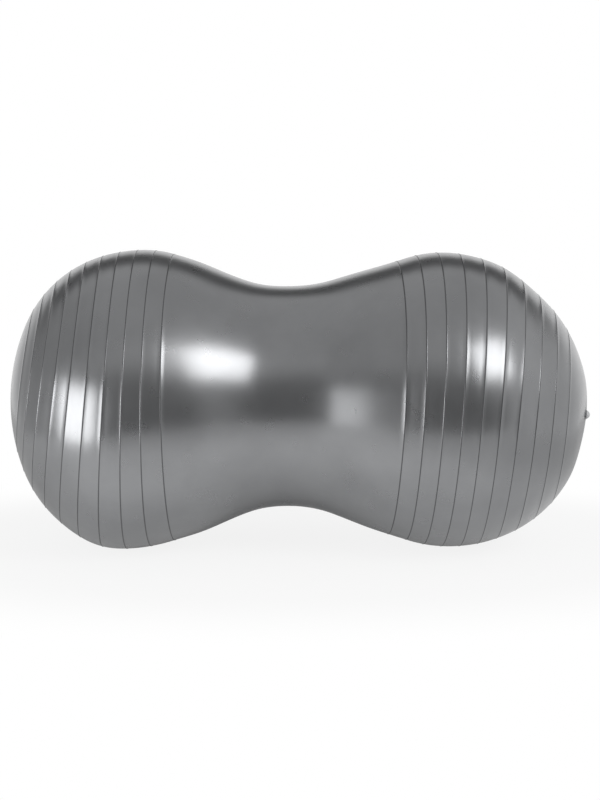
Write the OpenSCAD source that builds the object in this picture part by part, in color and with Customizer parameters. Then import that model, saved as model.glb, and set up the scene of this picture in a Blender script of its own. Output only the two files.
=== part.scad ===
// Double-lobe exercise ball (peanut ball), blown up, with its air plug pushed in.
// The long axis lies along X, with the air plug at the +X end. The ball stands on z = 0.
// The origin is on the floor, under the middle of the ball's length.

/* [Overall] */
// Distance between the centres of the two lobes
lobe_spacing = 482; // [400:1:600]
// Largest diameter of each lobe
lobe_d = 460; // [400:1:560]
// Diameter at the waist, midway between the lobes
waist_d = 342; // [280:1:380]
// Radius of the hollow curve round the waist
waist_curve_r = 195; // [60:1:220]
// Thickness of the blown-up skin
wall = 0.9; // [0.6:0.1:2]
// How far the ball's weight flattens each lobe on the floor
foot_depth = 1.5; // [1:0.1:3]

/* [Blind end] */
// How much flatter the blind end is than a sphere: its radius over the lobe's radius
blind_pole_extra = 70; // [20:1:120]
// Distance from the long axis to the centre of the shoulder's curve
blind_shoulder_in = 48; // [20:1:70]
// Distance along the skin from the waist to the first grip ring
blind_ring_start = 189; // [150:1:200]
// Distance along the skin from the first grip ring to the second
blind_ring_pitch = 33; // [20:0.1:34]
// How much each next gap between rings is wider than the last
blind_ring_growth = -0.4; // [-0.5:0.1:0.5]

/* [Plug end] */
// How much flatter the plug end is than a sphere: its radius over the lobe's radius
plug_pole_extra = 8; // [4:1:80]
// Distance from the long axis to the centre of the shoulder's curve
plug_shoulder_in = 33; // [10:1:60]
// Distance along the skin from the waist to the first grip ring
plug_ring_start = 160; // [150:1:190]
// Distance along the skin from the first grip ring to the second
plug_ring_pitch = 29.7; // [20:0.1:31]
// How much each next gap between rings is wider than the last
plug_ring_growth = 0.7; // [-0.5:0.1:0.8]

/* [Grip rings] */
// Number of grip rings round each lobe
ring_count = 10; // [1:1:10]
// Radius of the half-round bead of a grip ring
bead_r = 1.5; // [0.8:0.1:3]
// How far a grip ring stands out of the skin
bead_h = 1.0; // [0.4:0.1:2]
// Height over the floor below which the ball's weight presses the grip rings flat
bead_floor = 3; // [2:0.1:5]

/* [Valve] */
// Angle by which the valve points below the long axis
valve_drop = 3.3; // [0:0.1:12]
// Angle by which the valve points to the front of the long axis
valve_turn = 15; // [0:0.5:18]
// Bore that the plug is pushed into
bore_d = 9.1; // [7:0.1:12]
// Wall of the sleeve's tube
neck_wall = 2.9; // [1.5:0.1:5]
// Length of the sleeve's tube inside the ball
neck_len = 18; // [12:0.5:30]
// Height of the sleeve's rim over the skin
rim_h = 0.6; // [0:0.1:1.5]
// Diameter of the flange that is fused to the inside of the skin
flange_d = 34; // [26:1:60]
// Thickness of that flange
flange_t = 1.6; // [0.8:0.1:3]
// Depth of the funnel at the bore's mouth
mouth_h = 0.6; // [0.2:0.1:1]

/* [Air plug] */
// Clearance between the plug's lands and the bore, on the radius
plug_fit = 0.05; // [0.02:0.01:0.1]
// Diameter of the plug's head
head_d = 13; // [12:0.5:18]
// Height of the plug's head
head_h = 5; // [2:0.1:6]
// Radius of the rim round the head
head_edge_r = 0.6; // [0.3:0.1:0.9]
// Gap between the head and the sleeve's rim
head_gap = 0.4; // [0.1:0.1:1]
// Length of the plug's shank
shank_len = 20; // [12:0.5:30]
// Depth of the grooves between the lands
groove_depth = 0.4; // [0.2:0.1:0.8]
// Length of the first land, under the head
top_land = 3.5; // [2:0.5:6]
// Length of each further land
land_len = 1.6; // [0.8:0.1:3]
// Number of further lands
land_count = 3; // [1:1:3]
// Bore up the middle of the shank, open at its tip
core_d = 5.2; // [3:0.1:6]
// How much the shank's tip tapers, on the radius
tip_taper = 0.8; // [0.3:0.1:1.2]

/* [Hidden] */
$fn = 200;

BLIND = 0;
PLUG = 1;

// Overlap that lets two curves meet at a clean corner of well under a degree
blend = 0.01;
// Glue line between the sleeve and the skin that it is fused to
weld = 0.05;
// Margin of a cutting solid past what it cuts
past = 20;

lobe_r = lobe_d / 2;
waist_r = waist_d / 2;
half_spacing = lobe_spacing / 2;
axis_z = lobe_r - foot_depth;

// Each list holds the blind end's value and then the plug end's
shoulder_in = [blind_shoulder_in, plug_shoulder_in];
shoulder_r = [for (in = shoulder_in) lobe_r - in];
pole_r = [lobe_r + blind_pole_extra, lobe_r + plug_pole_extra];
// Angle from the long axis at which the pole's curve turns into the shoulder's
pole_angle = [for (e = [BLIND, PLUG]) asin(shoulder_in[e] / (pole_r[e] - shoulder_r[e]))];
pole_u = [for (e = [BLIND, PLUG]) half_spacing - (pole_r[e] - shoulder_r[e]) * cos(pole_angle[e])];
end_len = [for (e = [BLIND, PLUG]) pole_u[e] + pole_r[e]];
ring_start = [blind_ring_start, plug_ring_start];
ring_pitch = [blind_ring_pitch, plug_ring_pitch];
ring_growth = [blind_ring_growth, plug_ring_growth];

// The waist's curve can't be wider than the one that meets a shoulder with no straight flank
widest_curve = [for (e = [BLIND, PLUG])
    (pow(half_spacing, 2) + pow(waist_r - shoulder_in[e], 2) - pow(shoulder_r[e], 2))
    / (lobe_d - waist_d)];
curve_r = min(waist_curve_r, 0.98 * min(widest_curve));
curve_v = waist_r + curve_r;

// Slope of the straight flank that touches the waist's curve and the shoulder's curve
centres = [for (e = [BLIND, PLUG]) norm([half_spacing, curve_v - shoulder_in[e]])];
flank = [for (e = [BLIND, PLUG])
    atan2(curve_v - shoulder_in[e], -half_spacing)
    - acos((shoulder_r[e] + curve_r) / centres[e]) - 90];

// Distances along the skin from the waist to the flank, to the shoulder and to the pole's curve
to_flank = [for (e = [BLIND, PLUG]) arc(curve_r, flank[e])];
to_shoulder = [for (e = [BLIND, PLUG])
    to_flank[e] + sqrt(pow(centres[e], 2) - pow(shoulder_r[e] + curve_r, 2))];
to_pole = [for (e = [BLIND, PLUG])
    to_shoulder[e] + arc(shoulder_r[e], 90 + flank[e] - pole_angle[e])];

// Middle of the whole length, measured from the waist
waist_x = (end_len[BLIND] - end_len[PLUG]) / 2;

bore_r = bore_d / 2;
neck_r = bore_r + neck_wall;
head_z = rim_h + head_gap;
land_r = bore_r - plug_fit;
groove_r = land_r - groove_depth;
dome_h = head_h - 2 * head_edge_r;
dome_base_r = head_d / 2 - head_edge_r;
dome_r = (pow(dome_base_r, 2) + pow(dome_h, 2)) / (2 * dome_h);
land_pitch = (shank_len - top_land) / (land_count + 1);

function arc(r, angle) = r * angle * PI / 180;
function turn(r, length) = length / r * 180 / PI;
// A unit vector at an angle from the long axis, as [across, along]
function way(angle) = [sin(angle), cos(angle)];

// The skin at a distance along it from the waist: [across, along, angle of its outward normal].
function skin_at(e, s) =
    s < to_flank[e] ? on_waist(turn(curve_r, s))
    : s < to_shoulder[e] ? on_flank(e, s - to_flank[e])
    : s < to_pole[e] ? on_shoulder(e, 90 + flank[e] - turn(shoulder_r[e], s - to_shoulder[e]))
    : on_pole(e, pole_angle[e] - turn(pole_r[e], s - to_pole[e]));
function placed(p, angle) = [p.x, p.y, angle];
function on_waist(t) = placed([curve_v, 0] - curve_r * way(90 + t), 90 + t);
function on_flank(e, run) = placed(flank_start(e, 0) + run * way(flank[e]), 90 + flank[e]);
function on_shoulder(e, angle) = placed(shoulder_c(e) + shoulder_r[e] * way(angle), angle);
function on_pole(e, angle) = placed([0, pole_u[e]] + pole_r[e] * way(angle), angle);

function shoulder_c(e) = [shoulder_in[e], half_spacing];
// Ends of the flank's line on a surface that lies a depth inside the skin
function flank_start(e, depth) = [curve_v, 0] - (curve_r + depth) * way(90 + flank[e]);
function flank_end(e, depth) = shoulder_c(e) + (shoulder_r[e] - depth) * way(90 + flank[e]);
function ring_s(e, i) = ring_start[e] + i * ring_pitch[e] + i * (i - 1) / 2 * ring_growth[e];

// One end's outline in [across, along], from the waist to the pole, a depth inside the skin
module end_outline(e, depth) {
    from = flank_start(e, depth);
    to = flank_end(e, depth);
    polygon([[0, 0], [from.x, 0], from, to, [0, to.y]]);
    intersection() {
        translate(shoulder_c(e))
            circle(r = shoulder_r[e] - depth + blend);
        square([lobe_d, lobe_d + lobe_spacing]);
    }
    intersection() {
        translate([0, pole_u[e]])
            circle(r = pole_r[e] - depth);
        translate([0, pole_u[e] + (pole_r[e] - depth) * cos(pole_angle[e])])
            square(lobe_d);
    }
}

module end_rings(e) {
    for (i = [0 : ring_count - 1]) {
        skin = skin_at(e, ring_s(e, i));
        translate([skin.x, skin.y] - (bead_r - bead_h) * way(skin.z))
            circle(r = bead_r, $fn = 48);
    }
}

// Turns a drawing in [across, along] about the long axis
module turned() {
    translate([waist_x, 0, axis_z])
        rotate([0, 90, 0])
            rotate_extrude()
                children();
}

// The ball as a solid, a depth inside the skin and without its grip rings
module filled(depth) {
    turned()
        difference() {
            for (e = [BLIND, PLUG])
                mirror([0, e == BLIND ? 1 : 0])
                    end_outline(e, depth);
            translate([curve_v, 0])
                circle(r = curve_r + depth + blend);
        }
}

module grip_rings() {
    turned()
        for (e = [BLIND, PLUG])
            mirror([0, e == BLIND ? 1 : 0])
                end_rings(e);
}

module above(z) {
    size = 2 * (lobe_d + lobe_spacing);
    translate([-size / 2, -size / 2, z])
        cube(size);
}

// Stands a drawing on the skin at the valve, with +Z out of the ball
module at_valve() {
    translate([waist_x + pole_u[PLUG], 0, axis_z])
        rotate([0, 90 + valve_drop, -valve_turn])
            translate([0, 0, pole_r[PLUG]])
                children();
}

module shell() {
    color("#85878b")
        difference() {
            union() {
                intersection() {
                    filled(0);
                    above(0);
                }
                intersection() {
                    grip_rings();
                    above(bead_floor);
                }
            }
            intersection() {
                filled(wall);
                above(wall);
            }
            at_valve()
                translate([0, 0, -past])
                    cylinder(r = neck_r + weld, h = 2 * past);
        }
}

// The flange follows the inside of the skin, a glue line away from it
module flange_outline() {
    skin_r = pole_r[PLUG] - wall - weld;
    intersection() {
        difference() {
            translate([0, -pole_r[PLUG]])
                circle(r = skin_r, $fn = 720);
            translate([0, -pole_r[PLUG]])
                circle(r = skin_r - flange_t, $fn = 720);
        }
        translate([bore_r + neck_wall / 2, -past])
            square([(flange_d - bore_d - neck_wall) / 2, past]);
    }
}

module valve_sleeve() {
    mouth_r = bore_r + mouth_h;
    color("#8f9194")
        at_valve()
            rotate_extrude()
                difference() {
                    union() {
                        translate([bore_r, -neck_len])
                            square([neck_wall, neck_len + rim_h]);
                        flange_outline();
                    }
                    polygon([[0, rim_h + past], [mouth_r + past, rim_h + past], [0, rim_h - mouth_r]]);
                }
}

// The head is a shallow dome with a rounded rim, flat underneath
module head_outline() {
    translate([0, head_z]) {
        square([dome_base_r, 2 * head_edge_r]);
        translate([dome_base_r, head_edge_r])
            circle(r = head_edge_r, $fn = 48);
        intersection() {
            translate([0, head_h - dome_r])
                circle(r = dome_r);
            translate([0, head_edge_r])
                square([dome_base_r, head_h]);
        }
    }
}

module shank_outline() {
    tip_z = head_z - shank_len;
    core_r = core_d / 2;
    translate([0, tip_z + tip_taper])
        square([groove_r, shank_len - tip_taper]);
    polygon([[0, tip_z], [groove_r - tip_taper, tip_z], [groove_r, tip_z + tip_taper], [0, tip_z + tip_taper]]);
    translate([0, head_z - top_land])
        square([land_r, top_land]);
    for (i = [1 : land_count])
        let (z = head_z - top_land - i * land_pitch)
            polygon([[0, z], [groove_r, z], [land_r, z + groove_depth],
                     [land_r, z + groove_depth + land_len], [0, z + groove_depth + land_len]]);
}

module air_plug() {
    color("#c9cacc")
        at_valve()
            rotate_extrude()
                difference() {
                    union() {
                        head_outline();
                        shank_outline();
                    }
                    translate([0, head_z - shank_len - past])
                        square([core_d / 2, past + shank_len - top_land / 2]);
                }
}

shell();
valve_sleeve();
air_plug();
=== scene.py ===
"""Double-lobe exercise ball: the blown-up skin, the finishes, the studio and the camera.

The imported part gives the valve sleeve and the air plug, which keep their own meshes. The skin is
built here as one closed mesh on the same outline as the part's shell, with its grip rings leaning
as they do on a ball that is blown up by hand. Every length is in metres.
"""

from __future__ import annotations

import logging
import math
from dataclasses import dataclass
from enum import Enum
from typing import Any

import bpy
import numpy as np
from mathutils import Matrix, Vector

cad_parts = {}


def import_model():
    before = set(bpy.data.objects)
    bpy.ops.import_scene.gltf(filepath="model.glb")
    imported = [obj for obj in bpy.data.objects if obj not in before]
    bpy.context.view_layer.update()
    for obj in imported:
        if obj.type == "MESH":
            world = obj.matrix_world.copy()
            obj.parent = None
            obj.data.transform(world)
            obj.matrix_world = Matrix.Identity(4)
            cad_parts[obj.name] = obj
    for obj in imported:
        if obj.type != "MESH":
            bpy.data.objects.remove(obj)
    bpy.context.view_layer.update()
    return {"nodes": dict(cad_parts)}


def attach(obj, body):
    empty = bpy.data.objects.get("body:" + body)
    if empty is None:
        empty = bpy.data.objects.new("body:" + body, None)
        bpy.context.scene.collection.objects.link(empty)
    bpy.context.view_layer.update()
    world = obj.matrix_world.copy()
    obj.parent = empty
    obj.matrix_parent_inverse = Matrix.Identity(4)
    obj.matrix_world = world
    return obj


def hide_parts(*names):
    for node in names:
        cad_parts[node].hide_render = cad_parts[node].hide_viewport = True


LOG = logging.getLogger("exercise_ball")
MM = 0.001


def linear(code: str) -> tuple[float, float, float, float]:
    """Turns an sRGB hex colour into the linear colour that a shader takes.

    Args:
        code: The colour, such as "#80c0ff".

    Returns:
        Red, green, blue and alpha, with alpha 1.
    """
    parts = [int(code[i : i + 2], 16) / 255 for i in (1, 3, 5)]
    red, green, blue = (c / 12.92 if c <= 0.04045 else ((c + 0.055) / 1.055) ** 2.4 for c in parts)
    return red, green, blue, 1.0


def grey(level: float) -> tuple[float, float, float, float]:
    """Gives a neutral linear colour of one level."""
    return level, level, level, 1.0


def per_metre(size_mm: float) -> float:
    """Gives the texture scale at which a pattern repeats about every size_mm millimetres."""
    return 1000 / size_mm


def add_node(
    tree: bpy.types.NodeTree,
    kind: str,
    settings: dict[str | int, Any] | None = None,
    links: dict[str | int, bpy.types.NodeSocket] | None = None,
) -> bpy.types.Node:
    """Adds one node, sets its properties and its sockets' values, and joins its inputs.

    Args:
        tree: The node tree that the node goes into.
        kind: The node's type, such as "ShaderNodeTexNoise".
        settings: Values by property name, or by input name or number.
        links: The output socket that each named or numbered input takes its value from.

    Returns:
        The new node.
    """
    node = tree.nodes.new(kind)
    for key, value in (settings or {}).items():
        if isinstance(key, str) and hasattr(node, key):
            setattr(node, key, value)
        else:
            node.inputs[key].default_value = value
    for key, source in (links or {}).items():
        tree.links.new(source, node.inputs[key])
    return node


def fill_ramp(ramp: bpy.types.Node, stops: list[tuple[float, float]]) -> None:
    """Fills a colour ramp with grey stops.

    Args:
        ramp: The colour ramp node, new.
        stops: The place, from 0 to 1, and the level of each stop, in order.
    """
    bands = ramp.color_ramp.elements
    for i, (place, level) in enumerate(stops):
        stop = bands[i] if i < 2 else bands.new(place)
        stop.position = place
        stop.color = grey(level)


def seen_plainly(tree: bpy.types.NodeTree) -> bpy.types.NodeSocket:
    """Adds the nodes that tell whether the camera sees a place, straight or through something.

    Args:
        tree: The node tree of the world or of the floor.

    Returns:
        1 for such a ray, and 0 for any other.
    """
    ray = add_node(tree, "ShaderNodeLightPath")
    either = add_node(
        tree,
        "ShaderNodeMath",
        {"operation": "MAXIMUM"},
        {0: ray.outputs["Is Camera Ray"], 1: ray.outputs["Is Transmission Ray"]},
    )
    return either.outputs["Value"]


def new_material(name: str) -> tuple[bpy.types.Material, bpy.types.NodeTree]:
    """Makes an empty node material.

    Args:
        name: The material's name.

    Returns:
        The material and its empty node tree.
    """
    material = bpy.data.materials.new(name)
    material.use_nodes = True
    material.node_tree.nodes.clear()
    return material, material.node_tree


def ease(x: np.ndarray, low: float, high: float) -> np.ndarray:
    """Rises smoothly from 0 where x is low to 1 where x is high."""
    t = np.clip((x - low) / (high - low), 0, 1)
    return t * t * (3 - 2 * t)


def at_least(x: np.ndarray, floor: float, blend: float) -> np.ndarray:
    """Keeps x at or over floor, turning from one to the other over twice the blend length."""
    over = x - floor
    soft = (over + blend) ** 2 / (4 * blend)
    return floor + np.where(over > blend, over, np.where(over < -blend, 0, soft))


# Numbers of the inputs and the output of a colour mix node
MIX_A, MIX_B, MIX_OUT = 6, 7, 2
# Typical of PVC and of polyethylene
PLASTIC_IOR = 1.5


@dataclass(frozen=True)
class PearlPvc:
    """Soft PVC with pearl pigment, moulded in a polished mould and then stretched by air.

    The pearl flakes lie flat in the skin, so it shines like dull metal with soft-edged highlights.
    """

    name: str = "pvc_pearl_moulded"
    pale: str = "#959698"
    deep: str = "#8b8c8e"
    # Colour that a grip ring's crest is drawn in, darker than the skin
    ring: str = "#4c4d4f"
    metallic: float = 0.8
    roughness_low: float = 0.27
    roughness_high: float = 0.3
    # Added to the roughness along a ring's crest
    ring_roughness: float = 0.2
    # The real flakes are about 0.05 mm, too fine to show, so they are drawn coarser
    flake_mm: float = 1.4
    flake_share: float = 0.12
    # Pigment gathers in cloudy areas as the skin stretches
    cloud_mm: float = 90.0
    cloud_share: float = 0.8
    cloud_span: tuple[float, float] = (0.35, 0.65)
    # Ripple that the mould's polish leaves, like an orange's peel
    peel_mm: float = 5.0
    peel_h: float = 0.03 * MM
    peel_strength: float = 0.1
    # Patches of fine dust and rubbing
    dust_mm: float = 30.0
    dust_span: tuple[float, float] = (0.3, 0.7)
    # The smooth face that the polished mould leaves over the pigment
    coat: float = 0.35
    coat_roughness: float = 0.2

    def build(self) -> bpy.types.Material:
        """Makes the material.

        Returns:
            The material.
        """
        material, tree = new_material(self.name)
        where = {"Vector": add_node(tree, "ShaderNodeTexCoord").outputs["Object"]}
        cloud = add_node(
            tree, "ShaderNodeTexNoise", {"Scale": per_metre(self.cloud_mm), "Detail": 3.0}, where
        )
        flake = add_node(
            tree, "ShaderNodeTexVoronoi", {"Scale": per_metre(self.flake_mm)}, where
        )
        dust = add_node(
            tree, "ShaderNodeTexNoise", {"Scale": per_metre(self.dust_mm), "Detail": 4.0}, where
        )
        peel = add_node(
            tree, "ShaderNodeTexNoise", {"Scale": per_metre(self.peel_mm), "Detail": 2.0}, where
        )
        cloudy = add_node(
            tree,
            "ShaderNodeMapRange",
            {
                "From Min": self.cloud_span[0],
                "From Max": self.cloud_span[1],
                "To Max": self.cloud_share,
            },
            {"Value": cloud.outputs["Fac"]},
        )
        glint = add_node(
            tree,
            "ShaderNodeMath",
            {"operation": "MULTIPLY_ADD", 1: self.flake_share},
            {0: flake.outputs["Color"], 2: cloudy.outputs["Result"]},
        )
        pigment = add_node(
            tree,
            "ShaderNodeMix",
            {"data_type": "RGBA", MIX_A: linear(self.deep), MIX_B: linear(self.pale)},
            {0: glint.outputs["Value"]},
        )
        ridge = add_node(tree, "ShaderNodeAttribute", {"attribute_name": "ridge"})
        colour = add_node(
            tree,
            "ShaderNodeMix",
            {"data_type": "RGBA", MIX_B: linear(self.ring)},
            {0: ridge.outputs["Fac"], MIX_A: pigment.outputs[MIX_OUT]},
        )
        rough = add_node(
            tree,
            "ShaderNodeMapRange",
            {
                "From Min": self.dust_span[0],
                "From Max": self.dust_span[1],
                "To Min": self.roughness_low,
                "To Max": self.roughness_high,
            },
            {"Value": dust.outputs["Fac"]},
        )
        rougher = add_node(
            tree,
            "ShaderNodeMath",
            {"operation": "MULTIPLY_ADD", 1: self.ring_roughness},
            {0: ridge.outputs["Fac"], 2: rough.outputs["Result"]},
        )
        bump = add_node(
            tree,
            "ShaderNodeBump",
            {"Strength": self.peel_strength, "Distance": self.peel_h},
            {"Height": peel.outputs["Fac"]},
        )
        shader = add_node(
            tree,
            "ShaderNodeBsdfPrincipled",
            {
                "Metallic": self.metallic,
                "IOR": PLASTIC_IOR,
                "Coat Weight": self.coat,
                "Coat Roughness": self.coat_roughness,
            },
            {
                "Base Color": colour.outputs[MIX_OUT],
                "Roughness": rougher.outputs["Value"],
                "Normal": bump.outputs["Normal"],
            },
        )
        add_node(tree, "ShaderNodeOutputMaterial", links={"Surface": shader.outputs["BSDF"]})
        return material


@dataclass(frozen=True)
class MouldedPlastic:
    """A small injection-moulded part with an even, lightly grained face.

    It is duller than the skin, so the valve reads as a separate part.
    """

    name: str
    pale: str
    deep: str
    roughness: float
    roughness_spread: float = 0.06
    # Grain that spark erosion leaves in the mould
    grain_mm: float = 0.6
    grain_h: float = 0.04 * MM
    grain_strength: float = 0.35
    # Slow changes of tone where the melt flowed
    flow_mm: float = 8.0

    def build(self) -> bpy.types.Material:
        """Makes the material.

        Returns:
            The material.
        """
        material, tree = new_material(self.name)
        where = {"Vector": add_node(tree, "ShaderNodeTexCoord").outputs["Object"]}
        flow = add_node(
            tree, "ShaderNodeTexNoise", {"Scale": per_metre(self.flow_mm), "Detail": 3.0}, where
        )
        grain = add_node(
            tree, "ShaderNodeTexNoise", {"Scale": per_metre(self.grain_mm), "Detail": 2.0}, where
        )
        colour = add_node(
            tree,
            "ShaderNodeMix",
            {"data_type": "RGBA", MIX_A: linear(self.deep), MIX_B: linear(self.pale)},
            {0: flow.outputs["Fac"]},
        )
        rough = add_node(
            tree,
            "ShaderNodeMapRange",
            {
                "To Min": self.roughness - self.roughness_spread,
                "To Max": self.roughness + self.roughness_spread,
            },
            {"Value": grain.outputs["Fac"]},
        )
        bump = add_node(
            tree,
            "ShaderNodeBump",
            {"Strength": self.grain_strength, "Distance": self.grain_h},
            {"Height": grain.outputs["Fac"]},
        )
        shader = add_node(
            tree,
            "ShaderNodeBsdfPrincipled",
            {"IOR": PLASTIC_IOR},
            {
                "Base Color": colour.outputs[MIX_OUT],
                "Roughness": rough.outputs["Result"],
                "Normal": bump.outputs["Normal"],
            },
        )
        add_node(tree, "ShaderNodeOutputMaterial", links={"Surface": shader.outputs["BSDF"]})
        return material


class Finish(Enum):
    """The finishes of the ball's three pieces."""

    SKIN = PearlPvc()
    # Welded-in PVC, the same melt as the skin without its polish
    SLEEVE = MouldedPlastic("pvc_moulded_dull", "#a8a9ab", "#98999b", 0.42)
    # Low-density polyethylene, waxy
    PLUG = MouldedPlastic("ldpe_moulded_waxy", "#d2d3d5", "#c4c5c7", 0.34)


@dataclass(frozen=True)
class Lean:
    """How far a level of the skin is tipped off the long axis, in degrees."""

    front: float | np.ndarray
    up: float | np.ndarray

    def __add__(self, other: Lean) -> Lean:
        """Adds another lean."""
        return Lean(self.front + other.front, self.up + other.up)

    def times(self, share: np.ndarray | float) -> Lean:
        """Scales the lean."""
        return Lean(self.front * share, self.up * share)


@dataclass(frozen=True)
class BallEnd:
    """One half of the skin, from the waist to a pole, on the outline of the part's shell."""

    # +1 at the plug's end, -1 at the blind end
    side: int
    pole_extra: float
    shoulder_in: float
    ring_start: float
    ring_pitch: float
    ring_growth: float
    first_lean: Lean
    last_lean: Lean
    pole_lean: Lean
    # Distances along the skin between which the first lean turns into the last one
    lean_from: float
    lean_to: float
    # Share of the way from the waist to the first ring over which the lean sets in
    lean_in: float = 0.8
    lobe_r: float = 230 * MM
    waist_r: float = 171 * MM
    curve_r: float = 195 * MM
    half_spacing: float = 241 * MM
    ring_count: int = 10

    @property
    def shoulder_r(self) -> float:
        """Radius of the shoulder's curve."""
        return self.lobe_r - self.shoulder_in

    @property
    def pole_r(self) -> float:
        """Radius of the curve over the pole."""
        return self.lobe_r + self.pole_extra

    @property
    def pole_angle(self) -> float:
        """Angle from the long axis at which the pole's curve starts."""
        return math.asin(self.shoulder_in / (self.pole_r - self.shoulder_r))

    @property
    def pole_u(self) -> float:
        """Distance along the axis from the waist to the centre of the pole's curve."""
        return self.half_spacing - (self.pole_r - self.shoulder_r) * math.cos(self.pole_angle)

    @property
    def curve_v(self) -> float:
        """Distance from the axis to the centre of the waist's hollow curve."""
        return self.waist_r + self.curve_r

    @property
    def flank(self) -> float:
        """Slope of the straight flank between the waist's curve and the shoulder's."""
        rise = self.curve_v - self.shoulder_in
        reach = math.hypot(self.half_spacing, rise)
        turn = math.acos((self.shoulder_r + self.curve_r) / reach)
        return math.atan2(rise, -self.half_spacing) - turn - math.pi / 2

    @property
    def stations(self) -> tuple[float, float, float, float]:
        """Distances along the skin to the flank, the shoulder, the pole's curve and the pole."""
        reach = math.hypot(self.half_spacing, self.curve_v - self.shoulder_in)
        to_flank = self.curve_r * self.flank
        to_shoulder = to_flank + math.sqrt(reach**2 - (self.shoulder_r + self.curve_r) ** 2)
        to_pole = to_shoulder + self.shoulder_r * (math.pi / 2 + self.flank - self.pole_angle)
        return to_flank, to_shoulder, to_pole, to_pole + self.pole_r * self.pole_angle

    @property
    def rings(self) -> list[float]:
        """Distances along the skin from the waist to the grip rings."""
        return [
            self.ring_start + i * self.ring_pitch + i * (i - 1) / 2 * self.ring_growth
            for i in range(self.ring_count)
        ]

    def outline(self, run: np.ndarray) -> tuple[np.ndarray, np.ndarray, np.ndarray]:
        """Follows the skin from the waist.

        Args:
            run: Distances along the skin from the waist.

        Returns:
            The distance from the axis, the distance along it from the waist, and the angle
            between the outward normal and the axis.
        """
        to_flank, to_shoulder, to_pole, length = self.stations
        turn = run / self.curve_r
        waist = (
            self.curve_v - self.curve_r * np.cos(turn),
            self.curve_r * np.sin(turn),
            math.pi / 2 + turn,
        )
        past = run - to_flank
        flank = (
            self.curve_v - self.curve_r * math.cos(self.flank) + past * math.sin(self.flank),
            self.curve_r * math.sin(self.flank) + past * math.cos(self.flank),
            np.full_like(run, math.pi / 2 + self.flank),
        )
        angle = math.pi / 2 + self.flank - (run - to_shoulder) / self.shoulder_r
        shoulder = (
            self.shoulder_in + self.shoulder_r * np.sin(angle),
            self.half_spacing + self.shoulder_r * np.cos(angle),
            angle,
        )
        tip = (length - run) / self.pole_r
        pole = (self.pole_r * np.sin(tip), self.pole_u + self.pole_r * np.cos(tip), tip)
        across, along, normal = (
            np.select([run < to_flank, run < to_shoulder, run < to_pole], parts[:3], parts[3])
            for parts in zip(waist, flank, shoulder, pole)
        )
        return across, along, normal

    def lean_at(self, run: np.ndarray) -> Lean:
        """Gives the lean of the skin's levels, which is nothing at the waist.

        Args:
            run: Distances along the skin from the waist.

        Returns:
            The lean at each distance.
        """
        near = ease(run, 0, self.lean_in * self.ring_start)
        middle = ease(run, self.lean_from, self.lean_to)
        tip = ease(run, self.rings[-1], self.stations[3])
        return (
            self.first_lean.times(near * (1 - middle))
            + self.last_lean.times(near * middle * (1 - tip))
            + self.pole_lean.times(tip)
        )

    def lie(self, run: np.ndarray, turn: np.ndarray) -> tuple[np.ndarray, np.ndarray]:
        """Finds the points and normals of a leaned level of the skin, with the waist at x = 0.

        Args:
            run: Distances along the skin from the waist.
            turn: Angles round the axis, from the top towards the back.

        Returns:
            The points and the outward normals, each with x, y and z last.
        """
        length = self.stations[3]
        tip = (length - run) / self.pole_r
        lean = self.lean_at(run)
        front, up = np.radians(lean.front), np.radians(lean.up)
        x, y, z = np.cos(tip), np.sin(tip) * np.sin(turn), np.sin(tip) * np.cos(turn)
        x, z = x * np.cos(up) - z * np.sin(up), x * np.sin(up) + z * np.cos(up)
        x, y = x * np.cos(front) + y * np.sin(front), y * np.cos(front) - x * np.sin(front)
        round_axis = np.arctan2(y, z)
        across, along, normal = self.outline(length - self.pole_r * np.arccos(np.clip(x, -1, 1)))
        point = np.stack(
            [self.side * along, across * np.sin(round_axis), across * np.cos(round_axis)], -1
        )
        away = np.sin(normal)
        outward = np.stack(
            [self.side * np.cos(normal), away * np.sin(round_axis), away * np.cos(round_axis)], -1
        )
        return point, outward


@dataclass(frozen=True)
class Swell:
    """A gentle rise or hollow in the skin, round one place along the ball."""

    along: float
    reach: float
    height: float
    # Which way it faces: 1 up, -1 down, 0 all round
    facing: int

    def out(self, along: np.ndarray, up: np.ndarray) -> np.ndarray:
        """Gives how far the skin moves outward.

        Args:
            along: Distances along the axis from the waist.
            up: The upward parts of the skin's normals.

        Returns:
            The distances along the normals.
        """
        share = ((1 + self.facing * up) / 2) ** 2 if self.facing else 1.0
        return self.height * share * np.exp(-(((along - self.along) / self.reach) ** 2))


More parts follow.
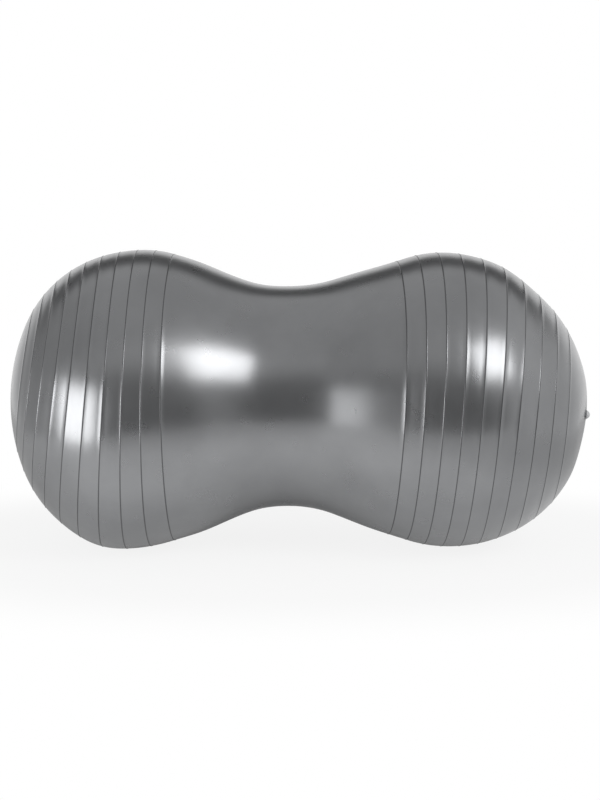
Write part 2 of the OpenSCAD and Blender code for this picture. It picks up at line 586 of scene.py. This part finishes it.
@dataclass
class Skin:
    """The blown-up skin: two lobes with a narrow waist, grip rings and a hole for the valve."""

    blind: BallEnd = BallEnd(
        side=-1,
        pole_extra=70 * MM,
        shoulder_in=48 * MM,
        ring_start=189 * MM,
        ring_pitch=33 * MM,
        ring_growth=-0.4 * MM,
        first_lean=Lean(-2.7, -3.0),
        last_lean=Lean(5.0, 7.0),
        pole_lean=Lean(5.0, 7.0),
        lean_from=45 * MM,
        lean_to=482 * MM,
    )
    plug: BallEnd = BallEnd(
        side=1,
        pole_extra=8 * MM,
        shoulder_in=33 * MM,
        ring_start=160 * MM,
        ring_pitch=29.7 * MM,
        ring_growth=0.7 * MM,
        first_lean=Lean(-2.0, -2.0),
        last_lean=Lean(3.5, -5.9),
        pole_lean=Lean(15.0, -3.3),
        lean_from=141 * MM,
        lean_to=407 * MM,
    )
    wall: float = 0.9 * MM
    # The weight presses a flat foot on each lobe, whose edge turns up over twice this length
    foot_depth: float = 1.5 * MM
    foot_edge: float = 0.5 * MM
    # Half-round grip ring, and the rows of points across it
    bead_h: float = 0.5 * MM
    bead_w: float = 1.4 * MM
    bead_rows: int = 11
    # Heights over the floor between which the detail is pressed flat
    pressed: tuple[float, float] = (0.8 * MM, 4 * MM)
    # Air lifts the skin a little between two rings, which hold it in
    pillow_h: float = 0.06 * MM
    # The waist arches up between the two lobes, out to this distance from it
    arch: float = 6.2 * MM
    arch_reach: float = 250 * MM
    # The plug's end droops, more and more between these distances from the waist
    droop: float = 8.5 * MM
    droop_span: tuple[float, float] = (310 * MM, 455 * MM)
    # Soft PVC never stretches quite evenly, so each lobe is fuller in some places. Each swell has
    # its place along the ball, its reach, its height and the way that it faces
    swells: tuple[Swell, ...] = (
        Swell(-299 * MM, 45 * MM, 4.5 * MM, -1),
        Swell(-200 * MM, 60 * MM, -2.5 * MM, -1),
        Swell(-185 * MM, 60 * MM, 4.5 * MM, 1),
        Swell(-144 * MM, 34 * MM, 1.3 * MM, 0),
        Swell(-66 * MM, 46 * MM, -3.5 * MM, 0),
        Swell(118 * MM, 40 * MM, 1.5 * MM, 0),
        Swell(125 * MM, 45 * MM, -2.0 * MM, 1),
        Swell(245 * MM, 80 * MM, -3.5 * MM, -1),
        Swell(305 * MM, 70 * MM, -4.5 * MM, 1),
        Swell(380 * MM, 45 * MM, -6.5 * MM, 1),
        Swell(405 * MM, 60 * MM, 1.6 * MM, 0),
    )
    # Distances from the plug's pole between which all of these set in, so the valve sits true
    valve_calm: tuple[float, float] = (22 * MM, 100 * MM)
    # A ring drawn round a soft mould is never quite true. Each wave has its number of crests round
    # a ring, the length along the skin in which it turns by a radian, its start and its share
    wander: float = 0.7 * MM
    waves: tuple[tuple[int, float, float, float], ...] = (
        (2, 45 * MM, 0.0, 1.0),
        (3, -70 * MM, 1.0, 0.6),
    )
    # Distances from the waist and from a pole within which the skin doesn't wander
    true_waist: float = 40 * MM
    true_pole: float = 60 * MM
    hole_r: float = 7.52 * MM
    # The sleeve's flange shows through the skin as a low disc with a fine groove round it
    disc_r: float = 14.5 * MM
    disc_h: float = 0.35 * MM
    disc_edge: float = 1.5 * MM
    groove_w: float = 1.1 * MM
    groove_h: float = 0.35 * MM
    # Points round each row, the most that two rows may be apart on the outer and the inner face,
    # and how near to the blind pole the rows go
    columns: int = 192
    row_step: float = 7.0 * MM
    inner_step: float = 13.0 * MM
    tip_gap: float = 4 * MM

    @property
    def axis_z(self) -> float:
        """Height of the long axis over the floor."""
        return self.blind.lobe_r - self.foot_depth

    @property
    def waist_x(self) -> float:
        """Place of the waist when the middle of the whole length is at x = 0."""
        ends = [end.pole_u + end.pole_r for end in (self.blind, self.plug)]
        return (ends[0] - ends[1]) / 2

    def runs(self, end: BallEnd, step: float, with_rings: bool, stop: float) -> np.ndarray:
        """Spaces the rows of one end, closer together across each grip ring.

        Args:
            end: The end of the ball.
            step: The most that two rows may be apart.
            with_rings: Whether the rows follow the grip rings.
            stop: The distance along the skin of the last row.

        Returns:
            Distances along the skin, from just past the waist to the last row.
        """
        across_ring = self.bead_w * np.linspace(-1, 1, self.bead_rows)
        marks = [np.zeros(1), *(ring + across_ring for ring in end.rings if with_rings)]
        marks.append(np.array([stop]))
        rows = [marks[0]]
        for before, after in zip(marks, marks[1:]):
            count = math.ceil((after[0] - before[-1]) / step)
            rows += [np.linspace(before[-1], after[0], count + 1)[1:], after[1:]]
        return np.concatenate(rows)[1:]

    def relief(self, end: BallEnd, run: np.ndarray) -> tuple[np.ndarray, np.ndarray]:
        """Works out how far the skin's detail stands out of its plain outline.

        Args:
            end: The end of the ball.
            run: Distances along the skin from the waist.

        Returns:
            The height of the detail, and how far up a grip ring each point is, from 0 to 1.
        """
        rings = np.array(end.rings)
        near = np.abs(run[..., None] - rings).min(-1)
        ridge = np.clip(1 - (near / self.bead_w) ** 2, 0, 1) ** 2
        index = np.interp(run, rings, np.arange(len(rings)))
        share = index - np.floor(index)
        height = self.bead_h * ridge + self.pillow_h * 4 * share * (1 - share)
        if end is self.plug:
            out = end.stations[3] - run
            edge = self.disc_r - self.disc_edge
            height = height + self.disc_h * (1 - ease(out, edge, self.disc_r))
            height = height - self.groove_h * np.exp(-(((out - self.disc_r) / self.groove_w) ** 2))
        return height, ridge

    def sag(
        self, end: BallEnd, run: np.ndarray, point: np.ndarray, outward: np.ndarray
    ) -> np.ndarray:
        """Works out how far the skin moves outward as the ball settles under its own weight.

        Args:
            end: The end of the ball.
            run: Distances along the skin from the waist.
            point: The points, before they settle, with the waist at x = 0.
            outward: Their outward normals.

        Returns:
            The distances along the normals.
        """
        along, up = point[..., 0], outward[..., 2]
        rise = self.arch * (1 - ease(np.abs(along), 0, self.arch_reach))
        rise = rise - self.droop * ease(along, *self.droop_span)
        out = rise * up + sum(swell.out(along, up) for swell in self.swells)
        if end is self.plug:
            out = out * ease(end.stations[3] - run, *self.valve_calm)
        return out

    def stray(self, end: BallEnd, run: np.ndarray, turn: np.ndarray) -> np.ndarray:
        """Works out how far along the skin each point strays from its true row.

        Args:
            end: The end of the ball.
            run: Distances along the skin from the waist.
            turn: Angles round the axis.

        Returns:
            The distances along the skin.
        """
        wave = sum(
            share * np.sin(crests * turn + run / length + start)
            for crests, length, start, share in self.waves
        )
        rings, stop = end.rings, end.stations[3] - self.true_pole
        calm = ease(run, self.true_waist, rings[0]) * (1 - ease(run, rings[-1], stop))
        return self.wander * wave * calm

    def surface(
        self, end: BallEnd, run: np.ndarray, depth: float
    ) -> tuple[np.ndarray, np.ndarray]:
        """Lays out rows of points on one end of the skin.

        Args:
            end: The end of the ball.
            run: The rows' distances along the skin from the waist.
            depth: How far inside the outer face the points lie: 0 for the outer face.

        Returns:
            The points, by row and column, and their ridge values.
        """
        turn = np.linspace(0, 2 * math.pi, self.columns, endpoint=False)[None, :]
        rows = np.broadcast_to(run[:, None], (len(run), self.columns))
        point, outward = end.lie(rows + self.stray(end, rows, turn), turn)
        height, ridge = self.relief(end, rows)
        height = np.zeros_like(height) if depth else height
        settled = self.sag(end, rows, point, outward) - depth
        point[..., 0] += self.waist_x
        point[..., 2] += self.axis_z
        free = ease(point[..., 2], *self.pressed)
        point += outward * (np.where(height > 0, height * free, height) + settled)[..., None]
        point[..., 2] = at_least(point[..., 2], depth, self.foot_edge)
        return point, ridge

    def build(self) -> bpy.types.Object:
        """Makes the closed mesh: out along the outer face to the hole, and back inside.

        Returns:
            The skin.
        """
        ends = (self.blind, self.plug)
        gaps = (self.tip_gap, self.hole_r)
        layers: list[tuple[np.ndarray, np.ndarray]] = []
        for depth, step in ((0.0, self.row_step), (self.wall, self.inner_step)):
            halves = [
                self.surface(end, self.runs(end, step, depth == 0, end.stations[3] - gap), depth)
                for end, gap in zip(ends, gaps)
            ]
            waist = self.surface(self.plug, np.zeros(1), depth)
            points = np.concatenate([halves[0][0][::-1], waist[0], halves[1][0]])
            ridges = np.concatenate([halves[0][1][::-1], waist[1], halves[1][1]])
            layers.append((points, ridges))
        layers[1] = (layers[1][0][::-1], layers[1][1][::-1] * 0)
        rings = np.concatenate([layers[0][0], layers[1][0]])
        ridge = np.concatenate([layers[0][1], layers[1][1]]).ravel()
        count = len(rings)
        tips = [self.tip(0.0), self.tip(self.wall)]
        vertices = np.concatenate([rings.reshape(-1, 3), tips])
        row, column = np.meshgrid(np.arange(count - 1), np.arange(self.columns), indexing="ij")
        after = (column + 1) % self.columns
        quads = np.stack(
            [
                row * self.columns + column,
                row * self.columns + after,
                (row + 1) * self.columns + after,
                (row + 1) * self.columns + column,
            ],
            -1,
        ).reshape(-1, 4)
        first = np.arange(self.columns)
        last = first + (count - 1) * self.columns
        outer_tip, inner_tip = len(vertices) - 2, len(vertices) - 1
        fans = [(outer_tip, int(b), int(a)) for a, b in zip(first, np.roll(first, -1))]
        fans += [(inner_tip, int(a), int(b)) for a, b in zip(last, np.roll(last, -1))]
        mesh = bpy.data.meshes.new("skin")
        mesh.from_pydata(vertices.tolist(), [], quads.tolist() + fans)
        mesh.attributes.new("ridge", "FLOAT", "POINT").data.foreach_set(
            "value", np.append(ridge, [0, 0]).astype(np.float32)
        )
        mesh.shade_smooth()
        mesh.validate()
        skin = bpy.data.objects.new("skin", mesh)
        bpy.context.scene.collection.objects.link(skin)
        return skin

    def tip(self, depth: float) -> np.ndarray:
        """Finds the point at the blind pole."""
        end = self.blind
        point, outward = end.lie(np.array([end.stations[3]]), np.zeros(1))
        return point[0] - outward[0] * depth + np.array([self.waist_x, 0, self.axis_z])

    def dress(self, skin: bpy.types.Object) -> None:
        """Gives the skin its finish and joins it to the ball."""
        skin.data.materials.append(Finish.SKIN.value.build())
        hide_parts("shell")
        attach(skin, "ball")


@dataclass
class Valve:
    """The welded-in sleeve and the push-in air plug, which keep the part's own meshes."""

    sleeve: bpy.types.Object
    plug: bpy.types.Object

    def dress(self) -> None:
        """Gives both pieces their finishes."""
        for piece, finish in ((self.sleeve, Finish.SLEEVE), (self.plug, Finish.PLUG)):
            piece.data.materials.clear()
            piece.data.materials.append(finish.value.build())


@dataclass(frozen=True)
class Softbox:
    """A lamp behind a diffusing panel, aimed at the ball."""

    name: str
    # Direction from the ball, in degrees: to the right of the camera, and up
    azimuth: float
    elevation: float
    width: float
    height: float
    distance: float
    # Brightness of the panel, where 1 is a white wall in full light
    level: float

    def build(self, aim: Vector) -> bpy.types.Object:
        """Makes the lamp.

        Args:
            aim: The point that the panel faces.

        Returns:
            The lamp.
        """
        lamp = bpy.data.lights.new(self.name, "AREA")
        lamp.shape = "RECTANGLE"
        lamp.size, lamp.size_y = self.width, self.height
        lamp.energy = self.level * math.pi * self.width * self.height
        light = bpy.data.objects.new(self.name, lamp)
        across, up = math.radians(self.azimuth), math.radians(self.elevation)
        flat = math.cos(up)
        way = Vector((math.sin(across) * flat, -math.cos(across) * flat, math.sin(up)))
        light.location = aim + self.distance * way
        light.rotation_euler = way.to_track_quat("Z", "Y").to_euler()
        bpy.context.scene.collection.objects.link(light)
        return light


SOFTBOXES = (
    Softbox(
        name="softbox_right",
        azimuth=44.5,
        elevation=32.5,
        width=0.98,
        height=0.9,
        distance=2.2,
        level=4.6,
    ),
    Softbox(
        name="softbox_left",
        azimuth=-50.3,
        elevation=-2.2,
        width=1.0,
        height=0.92,
        distance=1.66,
        level=4.2,
    ),
)


@dataclass(frozen=True)
class Surround:
    """The studio all round: a white wall behind, a dark gap over it, and a pale ceiling.

    The room in front, behind the camera, is dark.
    """

    # Angles from straight up, negative to the back and positive to the front, and the level there
    stops: tuple[tuple[float, float], ...] = (
        (-180, 0.4),
        (-100, 1.0),
        (-69, 1.0),
        (-63, 0.0),
        (-45, 0.0),
        (-40, 0.75),
        (-30, 0.6),
        (30, 0.55),
        (52, 0.6),
        (68, 0.12),
        (112, 0.08),
        (180, 0.3),
    )
    # How much of the side walls shows, by the sideways part of the direction, from left to right
    side_stops: tuple[tuple[float, float], ...] = ((-0.95, 1), (-0.6, 0), (0.58, 0), (0.9, 1))
    left_wall: float = 0.35
    right_wall: float = 0.75
    # Sideways part of the direction over which one wall's level turns into the other's
    wall_blend: tuple[float, float] = (-0.5, 0.5)
    # The lamps reach the left of the room least: where that sets in, and the level that is left
    dim_span: tuple[float, float] = (-0.75, -0.35)
    dim: float = 0.7

    def build(self) -> None:
        """Makes the world's shader."""
        world = bpy.data.worlds.new("studio")
        world.use_nodes = True
        tree = world.node_tree
        tree.nodes.clear()
        way = add_node(tree, "ShaderNodeTexCoord").outputs["Generated"]
        split = add_node(tree, "ShaderNodeSeparateXYZ", links={"Vector": way})
        front = add_node(
            tree, "ShaderNodeMath", {"operation": "MULTIPLY", 1: -1.0}, {0: split.outputs["Y"]}
        )
        angle = add_node(
            tree,
            "ShaderNodeMath",
            {"operation": "ARCTAN2"},
            {0: front.outputs["Value"], 1: split.outputs["Z"]},
        )
        share = add_node(
            tree,
            "ShaderNodeMapRange",
            {"From Min": -math.pi, "From Max": math.pi},
            {"Value": angle.outputs["Value"]},
        )
        ramp = add_node(tree, "ShaderNodeValToRGB", links={"Fac": share.outputs["Result"]})
        fill_ramp(ramp, [((degrees + 180) / 360, level) for degrees, level in self.stops])
        side = add_node(
            tree,
            "ShaderNodeMapRange",
            {
                "From Min": self.wall_blend[0],
                "From Max": self.wall_blend[1],
                "To Min": self.left_wall,
                "To Max": self.right_wall,
            },
            {"Value": split.outputs["X"]},
        )
        across = add_node(
            tree,
            "ShaderNodeMapRange",
            {"From Min": -1.0, "From Max": 1.0},
            {"Value": split.outputs["X"]},
        )
        sideways = add_node(tree, "ShaderNodeValToRGB", links={"Fac": across.outputs["Result"]})
        fill_ramp(sideways, [((x + 1) / 2, level) for x, level in self.side_stops])
        shade = add_node(
            tree,
            "ShaderNodeMapRange",
            {
                "interpolation_type": "SMOOTHSTEP",
                "From Min": self.dim_span[0],
                "From Max": self.dim_span[1],
                "To Min": self.dim,
            },
            {"Value": split.outputs["X"]},
        )
        lit = add_node(
            tree,
            "ShaderNodeMath",
            {"operation": "MULTIPLY"},
            {0: ramp.outputs["Color"], 1: shade.outputs["Result"]},
        )
        walls = add_node(
            tree,
            "ShaderNodeMix",
            {"data_type": "RGBA"},
            {
                0: sideways.outputs["Color"],
                MIX_A: lit.outputs["Value"],
                MIX_B: side.outputs["Result"],
            },
        )
        room = add_node(
            tree, "ShaderNodeBackground", {"Strength": 1.0}, {"Color": walls.outputs[MIX_OUT]}
        )
        white = add_node(tree, "ShaderNodeBackground", {"Color": grey(1), "Strength": 1.0})
        seen = add_node(
            tree,
            "ShaderNodeMixShader",
            links={
                0: seen_plainly(tree),
                1: room.outputs["Background"],
                2: white.outputs["Background"],
            },
        )
        add_node(tree, "ShaderNodeOutputWorld", links={"Surface": seen.outputs["Shader"]})
        bpy.context.scene.world = world


@dataclass(frozen=True)
class Floor:
    """A matt white board that the ball stands on, which fades into the white round it. In the
    skin's reflections it also glows white, with painted shadow round the ball and a painted pool
    of light.
    """

    half_width: float = 1.1
    front: float = 0.85
    back: float = 2.2
    # The left front corner is cut off, from this share of the half width and of the front on
    cut: float = 0.3
    paint: float = 0.86
    # Share of plain white that the camera sees over the board's own shading, near the ball
    glow: float = 0.86
    # Distances from the ball between which the board turns into plain white for the camera, and
    # the share of a sideways distance that counts
    fade: tuple[float, float] = (0.32, 0.56)
    fade_squash: float = 0.6
    # Painted shadow in the skin's reflections: share of plain white that the board glows with, by
    # the distance from the patch under the ball
    painted_shadow: tuple[tuple[float, float], ...] = (
        (0.0, 0.12),
        (0.1, 0.38),
        (0.2, 0.62),
        (0.3, 0.98),
    )
    # The patch of painted shadow, where the ball would shade the board, from left to right and
    # from its middle to the back
    under: tuple[float, float] = (-0.8, 0.24)
    behind: tuple[float, float] = (0.0, 0.5)
    # Painted pool of light in the skin's reflections: what is left of the share at each distance
    # from its middle, which lies to the left of the ball's middle, and the share of a sideways
    # distance that counts
    painted_pool: tuple[tuple[float, float], ...] = (
        (0.44, 1.0),
        (0.52, 0.8),
        (0.6, 0.4),
        (0.67, 0.14),
        (0.76, 0.03),
    )
    painted_pool_x: float = -0.2
    painted_pool_squash: float = 0.8

    def build(self) -> bpy.types.Object:
        """Makes the board.

        Returns:
            The board.
        """
        side = self.half_width
        mesh = bpy.data.meshes.new("floor")
        outline = [
            (-side * self.cut, -self.front, 0),
            (side, -self.front, 0),
            (side, self.back, 0),
            (-side, self.back, 0),
            (-side, -self.front * self.cut, 0),
        ]
        mesh.from_pydata(outline, [], [(0, 1, 2, 3, 4)])
        floor = bpy.data.objects.new("floor", mesh)
        bpy.context.scene.collection.objects.link(floor)
        material, tree = new_material("painted_board_matt")
        where = add_node(tree, "ShaderNodeTexCoord").outputs["Object"]
        away = self.away(tree, where, 0.0, self.fade_squash)
        glow = add_node(
            tree,
            "ShaderNodeMapRange",
            {
                "interpolation_type": "SMOOTHSTEP",
                "From Min": self.fade[0],
                "From Max": self.fade[1],
                "To Min": self.glow,
            },
            {"Value": away},
        )
        ray = add_node(tree, "ShaderNodeLightPath")
        # Painted light: for glossy rays the board glows white, by the painted shadow and the
        # painted pool of light
        painted_glossy_glow = add_node(
            tree,
            "ShaderNodeMath",
            {"operation": "MULTIPLY"},
            {0: ray.outputs["Is Glossy Ray"], 1: self.painted_shade_and_pool(tree, where)},
        )
        seen = add_node(
            tree,
            "ShaderNodeMath",
            {"operation": "MULTIPLY_ADD"},
            {
                0: seen_plainly(tree),
                1: glow.outputs["Result"],
                2: painted_glossy_glow.outputs["Value"],
            },
        )
        paint = add_node(tree, "ShaderNodeBsdfDiffuse", {"Color": grey(self.paint)})
        white = add_node(tree, "ShaderNodeEmission", {"Color": grey(1), "Strength": 1.0})
        mixed = add_node(
            tree,
            "ShaderNodeMixShader",
            links={
                0: seen.outputs["Value"],
                1: paint.outputs["BSDF"],
                2: white.outputs["Emission"],
            },
        )
        add_node(tree, "ShaderNodeOutputMaterial", links={"Surface": mixed.outputs["Shader"]})
        mesh.materials.append(material)
        return floor

    def away(
        self, tree: bpy.types.NodeTree, where: bpy.types.NodeSocket, middle: float, squash: float
    ) -> bpy.types.NodeSocket:
        """Adds the nodes for a distance that grows more slowly to the sides.

        Args:
            tree: The board's node tree.
            where: The place on the board.
            middle: How far to the right of the ball's middle the distance is counted from.
            squash: Share of a sideways distance that counts.

        Returns:
            The distance.
        """
        scaled = add_node(
            tree,
            "ShaderNodeVectorMath",
            {"operation": "MULTIPLY_ADD", 1: (squash, 1.0, 1.0), 2: (-middle * squash, 0.0, 0.0)},
            {0: where},
        )
        length = add_node(
            tree, "ShaderNodeVectorMath", {"operation": "LENGTH"}, {0: scaled.outputs["Vector"]}
        )
        return length.outputs["Value"]

    def painted_shade_and_pool(
        self, tree: bpy.types.NodeTree, where: bpy.types.NodeSocket
    ) -> bpy.types.NodeSocket:
        """Adds the nodes for the painted light that the ball's skin mirrors of the board: painted
        shadow round the ball and a painted pool of light.

        Args:
            tree: The board's node tree.
            where: The place on the board.

        Returns:
            The share of plain white that the board glows with, for glossy rays.
        """
        split = add_node(tree, "ShaderNodeSeparateXYZ", links={"Vector": where})
        held = [
            add_node(
                tree, "ShaderNodeClamp", {"Min": low, "Max": high}, {"Value": split.outputs[axis]}
            )
            for axis, (low, high) in (("X", self.under), ("Y", self.behind))
        ]
        shaded = add_node(
            tree,
            "ShaderNodeCombineXYZ",
            links={"X": held[0].outputs["Result"], "Y": held[1].outputs["Result"]},
        )
        apart = add_node(
            tree,
            "ShaderNodeVectorMath",
            {"operation": "DISTANCE"},
            {0: where, 1: shaded.outputs["Vector"]},
        )
        from_painted_pool = self.away(tree, where, self.painted_pool_x, self.painted_pool_squash)
        distances = (apart.outputs["Value"], from_painted_pool)
        ramps = []
        for distance, stops in zip(distances, (self.painted_shadow, self.painted_pool)):
            ramps.append(add_node(tree, "ShaderNodeValToRGB", links={"Fac": distance}))
            fill_ramp(ramps[-1], list(stops))
        both = add_node(
            tree,
            "ShaderNodeMath",
            {"operation": "MULTIPLY"},
            {0: ramps[0].outputs["Color"], 1: ramps[1].outputs["Color"]},
        )
        return both.outputs["Value"]


@dataclass(frozen=True)
class Viewpoint:
    """The camera, which looks a little down on the ball from the front."""

    distance: float = 2.5
    elevation: float = 8.0
    # How far the view is centred to the right of the ball's middle
    aside: float = 1.4 * MM
    # Width of the ball's plane that the whole long side of the picture covers
    covers: float = 1.244
    # How far it sees
    reach: float = 50.0

    def build(self, centre: Vector) -> bpy.types.Object:
        """Makes the camera and makes it the scene's own.

        Args:
            centre: The middle of the ball.

        Returns:
            The camera.
        """
        lens = bpy.data.cameras.new("camera")
        lens.lens = lens.sensor_width * self.distance / self.covers
        lens.clip_end = self.reach
        camera = bpy.data.objects.new("camera", lens)
        up = math.radians(self.elevation)
        away = Vector((0, -math.cos(up), math.sin(up)))
        camera.location = centre + Vector((self.aside, 0, 0)) + self.distance * away
        camera.rotation_euler = away.to_track_quat("Z", "Y").to_euler()
        bpy.context.scene.collection.objects.link(camera)
        bpy.context.scene.camera = camera
        return camera


def studio(centre: Vector) -> None:
    """Builds the floor, the surround, the softboxes and the camera.

    Args:
        centre: The middle of the ball.
    """
    Floor().build()
    Surround().build()
    for softbox in SOFTBOXES:
        softbox.build(centre)
    Viewpoint().build(centre)
    bpy.context.scene.view_settings.view_transform = "Standard"


def main() -> None:
    """Loads the part, builds the skin, dresses every piece and sets up the studio."""
    logging.basicConfig(level=logging.INFO, format="%(name)s: %(message)s")
    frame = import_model()
    skin = Skin()
    piece = skin.build()
    skin.dress(piece)
    LOG.info("skin: %d vertices, %d faces", len(piece.data.vertices), len(piece.data.polygons))
    Valve(frame["nodes"]["valve_sleeve"], frame["nodes"]["air_plug"]).dress()
    LOG.info("valve sleeve and air plug dressed")
    studio(Vector((0, 0, skin.axis_z)))


if __name__ == "__main__":
    main()
